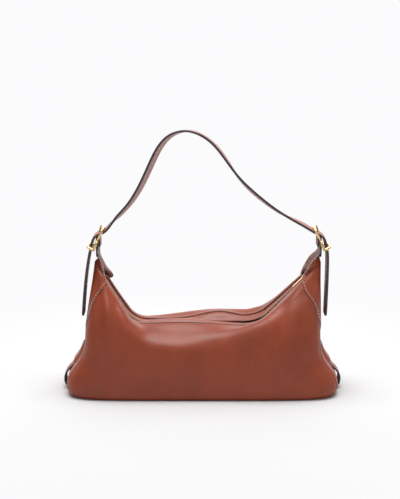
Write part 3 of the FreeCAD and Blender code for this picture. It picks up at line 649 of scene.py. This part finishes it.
TAPE_TOP = FACING_TOP + PLACKET_WALL + GAP
CHAIN_DEPTH = TAPE_TOP + 0.3
for name, side in (("front_tape", -1.0), ("rear_tape", 1.0)):
    y = np.linspace(TAPE_INNER, TAPE_OUTER, 5)[None] + 0.0 * places
    points = zip_line(places, np.full(places.shape, TAPE_TOP)) + np.stack([0 * y, side * y, 0 * y], axis=-1)
    sheet_piece(name, points[::int(side)], [TAPE, TAPE], TAPE_WALL,
                stands_for=(name.split("_")[0] + "_zip_tape",))

fine = zip_line(np.linspace(-ZIP_END + 1.5, ZIP_END - 1.5, 2000), np.full(2000, CHAIN_DEPTH))
TEETH = 2 * int(length_of(fine) / TOOTH_PITCH)
spot = even_steps(fine, TEETH)
run = path_frames(spot)
spot = spot + np.array([0.0, 0.0, 1.5]) * smooth((np.abs(spot[:, :1]) - 58.0) / 22.0)
hand = np.where(np.arange(TEETH) % 2 == 0, 1.0, -1.0)
square = np.stack([-run[:, 2], np.zeros(TEETH), run[:, 0]], axis=-1)
cross = np.array([0.0, 1.0, 0.0])
profile = np.array([(-0.5, -1.0), (0.5, -1.0), (0.75, 0.2), (0.75, 2.4), (-0.75, 2.4), (-0.75, 0.2)])
height = np.array([(-1.0, 0.9), (1.0, 1.0), (1.1, 0.8)])
layers = []
for level, size in height:
    layers.append(spot[:, None] + run[:, None] * (profile[None, :, :1] * size)
                  + cross * (profile[None, :, 1:] * hand[:, None, None]) + square[:, None] * level)
points = np.stack(layers, axis=1)
starts = np.arange(TEETH) * 18
sides = (starts[:, None, None] + grid_faces(3, 6, closed=True)[None])
sides = np.where(hand[:, None, None] > 0, sides, sides[:, :, ::-1]).reshape(-1, 4).tolist()
tops = np.where(hand[:, None] > 0, starts[:, None] + 12 + np.arange(6), starts[:, None] + 17 - np.arange(6))
lows = np.where(hand[:, None] > 0, starts[:, None] + 5 - np.arange(6), starts[:, None] + np.arange(6))
piece("zip_teeth", points, sides + tops.tolist() + lows.tolist(), [GOLD], stands_for=("zip_chain",))

# %% [markdown]
# ## Ears
# Each ear is one V of leather wrapped round the end, its band running down the middle and
# its tongue standing up for the buckle. A few key rows are taken on the body's surface,
# and a spline through them gives the curve that the leather takes by itself.

# %% Ears: two wings, a band and a tongue
EAR_GAP, EAR_WALL, EAR_LAP = 0.9, 2.0, 2.2
SWING, TONGUE_HALF, CHAPE_HALF = 180.0, 10.0, 11.0
EAR_ROWS = np.array([(25.0, 0.24), (26.0, 0.26), (28.0, 0.41), (30.0, 0.68), (32.0, 0.89), (34.0, 1.0),
                     (37.0, 1.0), (41.0, 1.0), (45.0, 1.0), (50.0, 1.0), (55.0, 1.0), (60.0, 1.0),
                     (66.0, 1.0), (73.0, 1.0)])
NECK_ROWS = np.array([(17.5, 5.6, 20.5, 16.5, 1.9), (14.5, 5.4, 17.0, 11.0, 1.0), (12.0, 5.0, 13.5, 6.5, 0.3),
                      (9.5, 4.2, 9.5, 3.0, 0.0), (7.0, 3.2, 4.6, 1.0, 0.0), (5.0, 2.2, 1.4, 0.0, 0.0),
                      (3.0, 1.0, 0.1, 0.0, 0.0), (0.0, 0.2, 0.0, 0.0, 0.0)])
LEFT_REAR = np.array([(16.5, 22.0), (10.8, 16.0), (6.0, 11.0), (2.4, 6.0), (0.3, 2.4),
                      (0.0, 0.2), (0.0, 0.0), (0.0, 0.0)])
ACROSS = np.linspace(-1.0, 1.0, 41)


def ear_plane(side):
    """The x at which an ear's tongue stands."""
    return side * END_HALF + (LEFT_LEAN if side < 0 else 0.0)


def ear_surface(side):
    """Middle of the ear's ply: rows on the body, then neck rows whose edges curl inwards
    less and less, then the round tip of the tongue."""
    middle = 0.0 if side > 0 else 180.0
    past = np.maximum(EAR_ROWS[:, :1] - 55.0, 0.0)
    rise = EAR_ROWS[:, :1] - 0.95 * past * np.abs(ACROSS[None]) ** 1.2
    turn = middle + side * ACROSS[None] * EAR_ROWS[:, 1:] * (seam_turn(rise, side) + EAR_LAP)
    rows = body(turn, rise) + outward(body, turn, rise) * (EAR_GAP + EAR_WALL / 2.0)
    plane = ear_plane(side)
    below, wider, curl, drop, proud = (NECK_ROWS[:, column:column + 1] for column in range(5))
    proud = proud * (1.0 if side > 0 else 2.2)
    curl = curl * np.where((side < 0) & (ACROSS < 0.0), 0.42, 1.0)
    straight = (side < 0) & (ACROSS > 0.0)
    curl, drop = np.where(straight, LEFT_REAR[:, :1], curl), np.where(straight, LEFT_REAR[:, 1:], drop)
    inward = curl * np.abs(ACROSS) ** 2.2 - proud * (1.0 - ACROSS ** 2)
    neck = np.stack([plane - side * inward, ACROSS * (TONGUE_HALF + wider),
                     SWING - below - drop * ACROSS ** 2], axis=-1)
    angle = np.radians(np.array([30.0, 55.0, 75.0, 86.0]))
    tip = np.stack([np.full((4, 41), plane), ACROSS[None] * TONGUE_HALF * np.cos(angle)[:, None],
                    np.broadcast_to(SWING + TONGUE_HALF * np.sin(angle)[:, None], (4, 41))], axis=-1)
    return np.concatenate([rows, neck, tip])


ear_paths = []
for label, side in (("right_ear", 1.0), ("left_ear", -1.0)):
    rows = ear_surface(side)
    apart = np.linalg.norm(np.diff(rows, axis=0), axis=-1).mean(axis=1)
    keys = np.concatenate([[0.0], np.cumsum(np.maximum(apart, 0.8))])
    fine_keys = np.linspace(0.0, keys[-1], 150)
    surface = curve_through(keys, rows, fine_keys)
    grid = np.swapaxes(surface, 0, 1)
    # The wings' rims take the grey edge finish, which is dark paint with a painted highlight.
    wing = sheet_piece(label.replace("ear", "wing"), grid[::-1] if side > 0 else grid, [HIDE, EDGE_PAINT_WITH_HIGHLIGHT, FLESH],
                       EAR_WALL, offset=0.0, bevel=0.45, stands_for=(label,))
    wing.modifiers["wall"].use_even_offset = False
    wing.modifiers["wall"].material_offset = 2
    normal = np.cross(np.gradient(surface, axis=1), np.gradient(surface, axis=0)) * side
    normal = normal / np.linalg.norm(normal, axis=-1, keepdims=True)
    sewn = slice(int(np.searchsorted(fine_keys, keys[4])), int(np.searchsorted(fine_keys, keys[18])))
    for rim, beside in ((0, 1), (40, 39)):
        line = surface[sewn, rim] * 0.4 + surface[sewn, beside] * 0.6
        ear_paths.append((line + normal[sewn, beside] * 1.15, normal[sewn, beside]))
stitches("ear_stitches", ear_paths)

seam_x = np.linspace(38.0, 142.0, 400)
seam_rise = np.full(400, 70.0)
seam_spot, seam_way = body(seam_x, seam_rise), outward(body, seam_x, seam_rise)
stitches("rear_stitches", [(seam_spot + seam_way * 0.15, seam_way)])

# %% [markdown]
# ## Base straps and keepers
# At each end a short strap comes out from under the foot, bows off the body and slips
# through a sewn keeper. A flat strap is a profile carried along a path, with its painted
# edges as a second finish; the keeper is a small sheet bent over it.

# %% Ends: base straps and keepers
BASE_STRAP_WIDE, BASE_STRAP_WALL, BASE_STRAP_TIP, BULGE = 22.0, 2.4, 62.0, 4.2
KEEPER_LOW, KEEPER_HIGH, KEEPER_WALL = 34.0, 57.0, 1.8


def rise_at(level, turn):
    """The rise at which the body reaches a level, read off a fine table of the surface."""
    rises = np.linspace(0.2, 60.0, 1200)
    return float(np.interp(level, plain_body(turn, rises)[:, 2], rises))


for hand_name, turn in (("right", 0.0), ("left", 180.0)):
    rises = np.linspace(rise_at(3.6, turn), rise_at(BASE_STRAP_TIP, turn), 70)
    spot, way = plain_body(turn, rises), outward(plain_body, np.full(70, turn), rises)
    share = np.clip((spot[:, 2] - 2.8) / (KEEPER_LOW - 2.8), 0.0, 1.0)
    lift = BULGE * (0.35 + 0.65 * smooth(share / 0.2)) * (1.0 - smooth((share - 0.35) / 0.6))
    path = spot + way * (0.45 + lift + BASE_STRAP_WALL / 2.0)[:, None]
    path[:, 2] = np.maximum(path[:, 2], 1.6 + 0.4 * path[:, 2])
    path = even_steps(path, 60)
    profile, paint = strap_profile(BASE_STRAP_WIDE, BASE_STRAP_WALL, 1.0)
    carried(hand_name + "_foot_strap", path, (0.0, 1.0, 0.0), profile, [HIDE, EDGE], paint=paint,
            stands_for=(hand_name + "_base_strap",))
    rises = np.linspace(rise_at(KEEPER_LOW, turn), rise_at(KEEPER_HIGH, turn), 24)[:, None]
    right_half = np.array([3.0, 8.0, 11.4, 12.2, 13.2, 14.6, 16.0])
    cross_places = np.concatenate([-right_half[::-1], right_half])
    stand = np.array([3.4, 3.4, 3.2, 2.6, 1.2, 0.4, 0.3])
    stand = np.concatenate([stand[::-1], stand])
    foot = plain_body(turn, rises)
    way = outward(plain_body, turn + 0.0 * rises, rises)
    points = foot + way * (stand + KEEPER_WALL / 2.0)[None, :, None]
    points = points + np.stack([0 * stand, cross_places, 0 * stand], axis=-1)[None]
    points = points if turn == 0.0 else points[:, ::-1]
    # The keepers take the lighter hide, which is painted top light.
    sheet_piece(hand_name + "_loop", np.swapaxes(points, 0, 1), [HIDE_PAINTED_TOP_LIGHT, EDGE], KEEPER_WALL, offset=0.0,
                bevel=0.4, stands_for=(hand_name + "_keeper",))

# %% [markdown]
# ## Buckles
# A pin buckle is a bent rod: a rectangle for the strap, a bar for the tab, and a tail bow
# that keeps the free end close. Rods are circles carried along rounded paths, which gives
# the soft bends that casting and polishing leave.

# %% Buckles: frames and tabs
STRAP_WIDE, STRAP_WALL = 25.0, 3.0
CHAPE_WALL, CHAPE_CLEAR = 1.5, 0.35
REACH, WIRE, BAR, BAR_LIFT, BUCKLE_ROOM = 13.5, 1.6, 1.3, 3.2, 1.2
BAR_LEVEL = SWING + TONGUE_HALF + BAR_LIFT
SIDE_BAR = STRAP_WIDE / 2.0 + BUCKLE_ROOM + WIRE
BOW_OUT = WIRE + 1.4 + STRAP_WALL + WIRE
TILT = math.radians(25.0)


def buckle_axes(side):
    """A buckle's middle bar, its way up and its way out, turned by the tilt."""
    middle = np.array([ear_plane(side), 0.0, BAR_LEVEL])
    up = np.array([-side * math.sin(TILT), 0.0, math.cos(TILT)])
    out = np.array([side * math.cos(TILT), 0.0, math.sin(TILT)])
    return middle, up, out


def rounded_path(corners, bend, closed=False):
    """Corners joined by straight runs, each corner turned into a quadratic bend."""
    corners = np.asarray(corners, float)
    count = len(corners)
    share = np.linspace(0.0, 1.0, 7)[:, None]
    inner = range(count) if closed else range(1, count - 1)
    parts = [] if closed else [corners[:1]]
    for index in inner:
        here, back, on = corners[index], corners[index - 1], corners[(index + 1) % count]
        start = here + (back - here) / np.linalg.norm(back - here) * bend
        end = here + (on - here) / np.linalg.norm(on - here) * bend
        parts.append((1 - share) ** 2 * start + 2 * share * (1 - share) * here + share ** 2 * end)
    if not closed:
        parts.append(corners[-1:])
    return np.concatenate(parts)


def rod(name, path, radius, side, closed=False, **where):
    """A round rod: a circle carried along a path; a closed one meets its own start."""
    if closed:
        path = np.concatenate([path, path[:1]])
    return carried(name, path, side, circle(radius), [GOLD], **where)


for hand_name, side in (("right", 1.0), ("left", -1.0)):
    middle, up, out = buckle_axes(side)
    across = np.array([0.0, 1.0, 0.0])

    def at(y, along, proud):
        """A spot from the buckle's middle, by its own three ways."""
        return middle + across * y + up * along + out * proud

    loop = [at(-SIDE_BAR, 0, 0), at(-SIDE_BAR, REACH, 0), at(SIDE_BAR, REACH, 0), at(SIDE_BAR, -REACH, 0),
            at(SIDE_BAR, -REACH, BOW_OUT), at(-SIDE_BAR, -REACH, BOW_OUT), at(-SIDE_BAR, -REACH, 0),
            at(-SIDE_BAR, -1.0, 0)]
    rod(hand_name + "_frame", rounded_path(loop, 2.6), WIRE, (0.37, 0.61, 0.7), rides="strap",
        stands_for=(hand_name + "_buckle_frame",))
    for part_name, one, two, radius in (("low_bar", at(-SIDE_BAR, -REACH, 0), at(SIDE_BAR, -REACH, 0), WIRE),
                                        ("middle_bar", at(-SIDE_BAR, 0, 0), at(SIDE_BAR, 0, 0), BAR)):
        path = one + (two - one) * np.linspace(0.0, 1.0, 5)[:, None]
        rod(f"{hand_name}_{part_name}", path, radius, (0.3, 0.0, 0.9), rides="strap")

    # The tab goes up its outer ply, over the bar and down its inner ply, in one path.
    near = EAR_WALL / 2.0 + CHAPE_CLEAR + CHAPE_WALL / 2.0
    angle = np.linspace(0.0, math.pi, 15)
    fold = middle + np.stack([side * near * np.cos(angle), 0 * angle, near * np.sin(angle)], axis=-1)
    outer_z = np.linspace(SWING - CHAPE_HALF, BAR_LEVEL, 26)[:-1]
    inner_z = np.linspace(BAR_LEVEL, SWING + 4.0, 12)[1:]
    outer_run = np.stack([np.full(25, middle[0] + side * near), 0 * outer_z, outer_z], axis=-1)
    inner_run = np.stack([np.full(11, middle[0] - side * near), 0 * inner_z, inner_z], axis=-1)
    path = np.concatenate([outer_run, fold, inner_run])
    round_part = np.clip((SWING - path[:, 2]) / CHAPE_HALF, 0.0, 0.995)
    half = np.where(np.arange(len(path)) < 25, CHAPE_HALF * np.sqrt(1.0 - round_part ** 2), CHAPE_HALF)
    shares = np.array([-1.0, -0.94, -0.8, -0.6, -0.4, -0.262, -0.1, 0.1, 0.262, 0.4, 0.6, 0.8, 0.94, 1.0])
    points = path[:, None] + across * (half[:, None] * shares[None])[..., None]
    cell_mid = (shares[:-1] + shares[1:]) / 2.0
    slot_rows = (np.arange(len(path) - 1) >= 22) & (np.arange(len(path) - 1) <= 41)
    keep = ~(slot_rows[:, None] & (np.abs(cell_mid) < 0.262)[None])
    grid, mask = (points, keep) if side < 0 else (points[:, ::-1], keep[:, ::-1])
    sheet_piece(hand_name + "_tab", grid, [HIDE, EDGE], CHAPE_WALL, offset=0.0, bevel=0.3, keep=mask,
                rides="strap", stands_for=(hand_name + "_chape",))

# %% [markdown]
# ## The shoulder strap
# One strap runs from tip to tip: up the free tail, through the tail bow, over the bar, under
# the top bar and along the arch. Its middle line is a spline through the places where it
# must pass, and a flat profile with half-round painted edges is carried along it.

# %% Strap: the arch and its two tails
LEFT_LEG = np.array([(0.27, 0.24), (0.56, 0.67), (0.82, 0.96)])
RIGHT_LEG = np.array([(0.18, 0.118), (0.37, 0.280), (0.58, 0.535), (0.77, 0.855), (0.89, 0.965)])
APEX = np.array([-19.8, 0.0, 327.6])
LEFT_TIP, RIGHT_TIP, TIP_LEVEL = 150.7, 155.4, 94.5


def strap_line():
    """Spots from the left tip to the right tip, joined by a spline over their distances."""
    under = WIRE + 0.8 + STRAP_WALL / 2.0
    over = EAR_WALL / 2.0 + CHAPE_CLEAR + CHAPE_WALL + 1.0 + STRAP_WALL / 2.0
    sides = []
    for side, leg, tip in ((-1.0, LEFT_LEG, LEFT_TIP), (1.0, RIGHT_LEG, RIGHT_TIP)):
        middle, up, out = buckle_axes(side)
        through = np.array([(-REACH, under), (-REACH / 2, over - 0.2), (-0.5, over), (REACH / 2, 1.2),
                            (REACH, -under), (REACH + 5.0, -under - (3.3 if side > 0 else 1.6))])
        spots = middle + up * through[:, :1] + out * through[:, 1:]
        tip_spot = np.array([side * tip, 0.0, TIP_LEVEL])
        hang = spots[0] + (tip_spot - spots[0]) * 0.25 + np.array([side * 1.5, 0.0, 0.0])
        start = spots[-1]
        arch = start + (APEX - start) * np.stack([leg[:, 0], 0 * leg[:, 0], leg[:, 1]], axis=-1)
        sides.append(np.concatenate([[tip_spot, hang], spots, arch]))
    spots = np.concatenate([sides[0], [APEX], sides[1][::-1]])
    chord = np.concatenate([[0.0], np.cumsum(np.linalg.norm(np.diff(spots, axis=0), axis=1))])
    return even_steps(curve_through(chord, spots, np.linspace(0.0, chord[-1], 3000)), 520)


path = strap_line()
profile, paint = strap_profile(STRAP_WIDE, STRAP_WALL, 1.1)
steps = np.linspace(0.0, length_of(path), len(path))
from_tip = np.minimum(steps, steps[-1] - steps)
taper = np.sqrt(np.clip(1.0 - (1.0 - np.clip(from_tip / 7.0, 0.0, 1.0)) ** 2, 0.03, 1.0))
scale = np.stack([0.55 + 0.45 * taper, 0.4 + 0.6 * np.clip(from_tip / 1.2, 0.0, 1.0)], axis=-1)
x, free = path[:, 0], smooth((path[:, 2] - 208.0) / 16.0)
twist = free * (0.28 - 0.22 * smooth((x + 45.0) / 60.0) - 0.34 * smooth((x - 20.0) / 50.0))
roll = -0.12 * free * bell(x + 12.0, 40.0)
side = np.stack([twist, np.ones_like(twist), roll], axis=-1)
paint[13 + 6:] = 2
carried("strap_leather", path, side, profile, [HIDE, EDGE, FLESH], scale=scale, paint=paint,
        rides="strap", stands_for=("shoulder_strap",))
print("strap length:", round(length_of(path)), "mm")

# %% [markdown]
# ## Pieces kept from the frame
# The slider, its pull and the prongs are small rigid metal parts whose CAD shapes are right,
# so they keep them and only take a finish. The lining, board and pocket are inside.

# %% Finishes for the kept pieces
KEPT = {"zip_slider": GOLD, "zip_pull": GOLD, "left_prong": GOLD, "right_prong": GOLD, "inner_pocket": LINING,
        "lining_base": LINING, "lining_front": LINING, "lining_rear": LINING, "base_board": BOARD}
for name, finish in KEPT.items():
    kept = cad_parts[name]
    for slot in kept.material_slots:
        slot.material = finish
print("kept:", ", ".join(KEPT))

# %% [markdown]
# ## Floor, light and camera
# A bag is shot on a white sweep under soft light, so that only a contact shadow ties it to
# the ground. The floor near the bag is matte and takes the shadow, and it turns into plain
# white further away. A wide soft lamp above gives the folds their pale tops.

# %% Stage: floor, lamps and camera
PAPER = (0.965, 0.965, 0.980, 1.0)
SWEEP_NEAR, SWEEP_FAR = 0.22, 0.55
CAMERA_SPOT, CAMERA_DIP, LENS = (-0.003, -1.570, 0.510), 11.92, 115.1
scene = bpy.context.scene
scene.view_settings.view_transform = "Standard"
world = bpy.data.worlds.new("soft room")
scene.world = world
world.use_nodes = True
sky = world.node_tree
room = sky.nodes["Background"]
room.inputs["Color"].default_value = PAPER
room.inputs["Strength"].default_value = 0.34
backdrop = node(sky, "ShaderNodeBackground", Color=PAPER, Strength=1.0)
seen = sky.nodes.new("ShaderNodeMixShader")
link(sky, (sky.nodes.new("ShaderNodeLightPath").outputs["Is Camera Ray"], seen.inputs["Fac"]),
     (room.outputs[0], seen.inputs[1]), (backdrop.outputs[0], seen.inputs[2]),
     (seen.outputs[0], sky.nodes["World Output"].inputs["Surface"]))

floor_mesh = bpy.data.meshes.new("floor")
floor_mesh.from_pydata([(-40, -6, 0), (40, -6, 0), (40, 60, 0), (-40, 60, 0)], [], [(0, 1, 2, 3)])
floor = bpy.data.objects.new("floor", floor_mesh)
scene.collection.objects.link(floor)
floor_finish, tree, shader, place = finish_base("sweep", (0.585, 0.585, 0.59), 0.9, **{
    "Specular IOR Level": 0.1})
glow = node(tree, "ShaderNodeEmission", Color=PAPER, Strength=1.0)
ray = tree.nodes.new("ShaderNodeLightPath")
distance = node(tree, "ShaderNodeVectorMath", operation="LENGTH")
fade = node(tree, "ShaderNodeMapRange", interpolation_type="SMOOTHSTEP", **{
    "From Min": SWEEP_NEAR, "From Max": SWEEP_FAR})
both = node(tree, "ShaderNodeMath", operation="MULTIPLY")
mix = tree.nodes.new("ShaderNodeMixShader")
link(tree, (place, distance.inputs[0]), (distance.outputs["Value"], fade.inputs["Value"]),
     (fade.outputs["Result"], both.inputs[0]), (ray.outputs["Is Camera Ray"], both.inputs[1]),
     (both.outputs["Value"], mix.inputs["Fac"]), (shader.outputs["BSDF"], mix.inputs[1]),
     (glow.outputs["Emission"], mix.inputs[2]),
     (mix.outputs["Shader"], tree.nodes["Material Output"].inputs["Surface"]))
floor_mesh.materials.append(floor_finish)


def lamp(name, spot, aim, wide, watts):
    """A soft panel that looks from its spot towards an aim and isn't seen itself."""
    light = bpy.data.lights.new(name, "AREA")
    light.shape = "RECTANGLE"
    light.size, light.size_y = wide
    light.energy = watts
    made = bpy.data.objects.new(name, light)
    scene.collection.objects.link(made)
    made.visible_camera = False
    made.location = spot
    run = np.asarray(aim, float) - np.asarray(spot, float)
    flat = math.hypot(run[0], run[1])
    made.rotation_euler = (math.pi / 2 - math.atan2(-run[2], flat), 0.0, math.atan2(-run[0], run[1]))
    return made


lamp("sky panel", (0.0, 0.1, 1.9), (0.0, 0.0, 0.1), (1.6, 1.0), 52.0)
lamp("back panel", (0.0, 2.2, 0.9), (0.0, 0.0, 0.15), (4.0, 1.8), 30.0)
lamp("front fill", (-0.6, -1.9, 1.1), (0.0, 0.0, 0.12), (1.6, 1.2), 3.5)
lamp("right fill", (1.8, -0.6, 0.9), (0.0, 0.0, 0.12), (1.2, 1.2), 2.5)

camera_data = bpy.data.cameras.new("camera")
camera_data.sensor_fit = "HORIZONTAL"
camera_data.sensor_width = 36.0
camera_data.lens = LENS
camera = bpy.data.objects.new("camera", camera_data)
scene.collection.objects.link(camera)
camera.location = CAMERA_SPOT
camera.rotation_euler = (math.radians(90.0 - CAMERA_DIP), 0.0, 0.0)
scene.camera = camera
